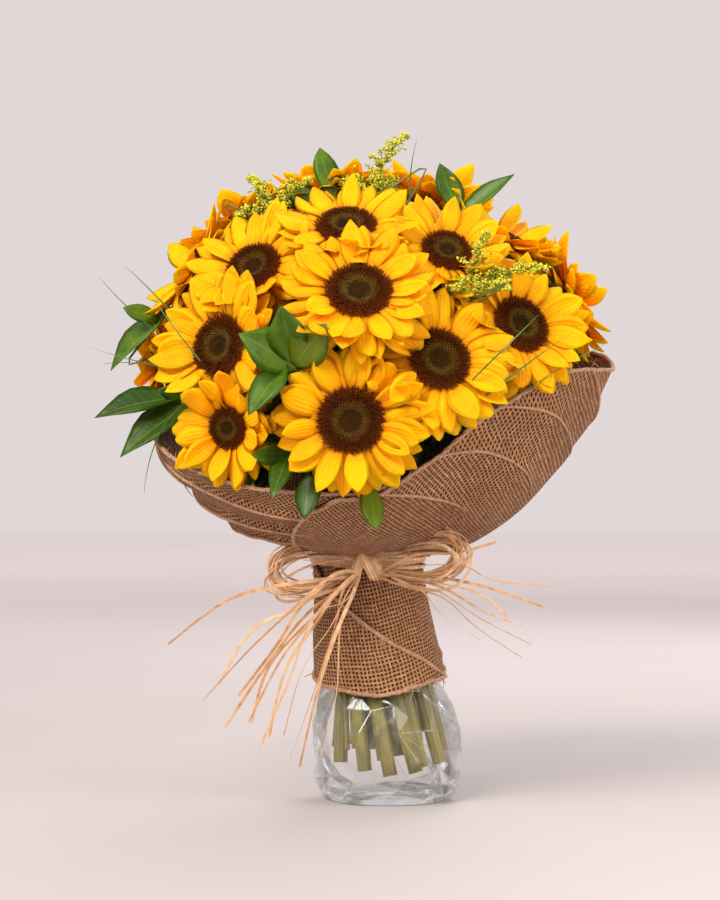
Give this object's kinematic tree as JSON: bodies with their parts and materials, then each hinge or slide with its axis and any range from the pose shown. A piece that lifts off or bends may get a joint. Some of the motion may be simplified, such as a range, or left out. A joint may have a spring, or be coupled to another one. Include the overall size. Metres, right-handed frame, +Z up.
{
  "type": "bunch of sunflowers",
  "caption": "Hand-tied bunch of cut sunflowers with foliage, in a burlap wrap with a raffia bow, standing on a water-filled cellophane bag.",
  "frame": {"origin": "middle of the flat face that the bag of water stands on", "axes": "+Z up along the bunch, -Y towards the front with the bow, +X to the right as seen from the front"},
  "size_m": [0.4128, 0.377, 0.5161],
  "materials": {
    "stem": "satin",
    "petals": "matte",
    "leaf": "satin",
    "goldenrod": "matte",
    "grass": "satin",
    "burlap": "matte",
    "cellophane": "gloss",
    "water": "polished",
    "raffia": "matte"
  },
  "bodies": {
    "root": {"sunflower_01_stem": "stem", "sunflower_01_petals": "petals", "sunflower_02_stem": "stem", "sunflower_02_petals": "petals", "sunflower_03_stem": "stem", "sunflower_03_petals": "petals", "sunflower_04_stem": "stem", "sunflower_04_petals": "petals", "sunflower_05_stem": "stem", "sunflower_05_petals": "petals", "sunflower_06_stem": "stem", "sunflower_06_petals": "petals", "sunflower_07_stem": "stem", "sunflower_07_petals": "petals", "sunflower_08_stem": "stem", "sunflower_08_petals": "petals", "sunflower_09_stem": "stem", "sunflower_09_petals": "petals", "sunflower_10_stem": "stem", "sunflower_10_petals": "petals", "sunflower_11_stem": "stem", "sunflower_11_petals": "petals", "sunflower_12_stem": "stem", "sunflower_12_petals": "petals", "sunflower_13_stem": "stem", "sunflower_13_petals": "petals", "sunflower_14_stem": "stem", "sunflower_14_petals": "petals", "sunflower_15_stem": "stem", "sunflower_15_petals": "petals", "sunflower_16_stem": "stem", "sunflower_16_petals": "petals", "sunflower_17_stem": "stem", "sunflower_17_petals": "petals", "sunflower_18_stem": "stem", "sunflower_18_petals": "petals", "sunflower_19_stem": "stem", "sunflower_19_petals": "petals", "sunflower_20_stem": "stem", "sunflower_20_petals": "petals", "leafy_sprig_left_high": "leaf", "leafy_sprig_left_low": "leaf", "leafy_sprig_centre": "leaf", "leafy_sprig_front": "leaf", "leafy_sprig_top": "leaf", "leafy_sprig_right": "leaf", "leafy_sprig_back": "leaf", "goldenrod_top": "goldenrod", "goldenrod_right": "goldenrod", "goldenrod_left": "goldenrod", "bear_grass": "grass", "burlap_collar": "burlap", "burlap_skirt": "burlap", "cellophane_bag": "cellophane", "bag_water": "water", "raffia_band": "raffia", "raffia_bow": "raffia", "raffia_tails_left": "raffia", "raffia_tails_low": "raffia", "raffia_tails_right": "raffia"}
  },
  "joints": []
}
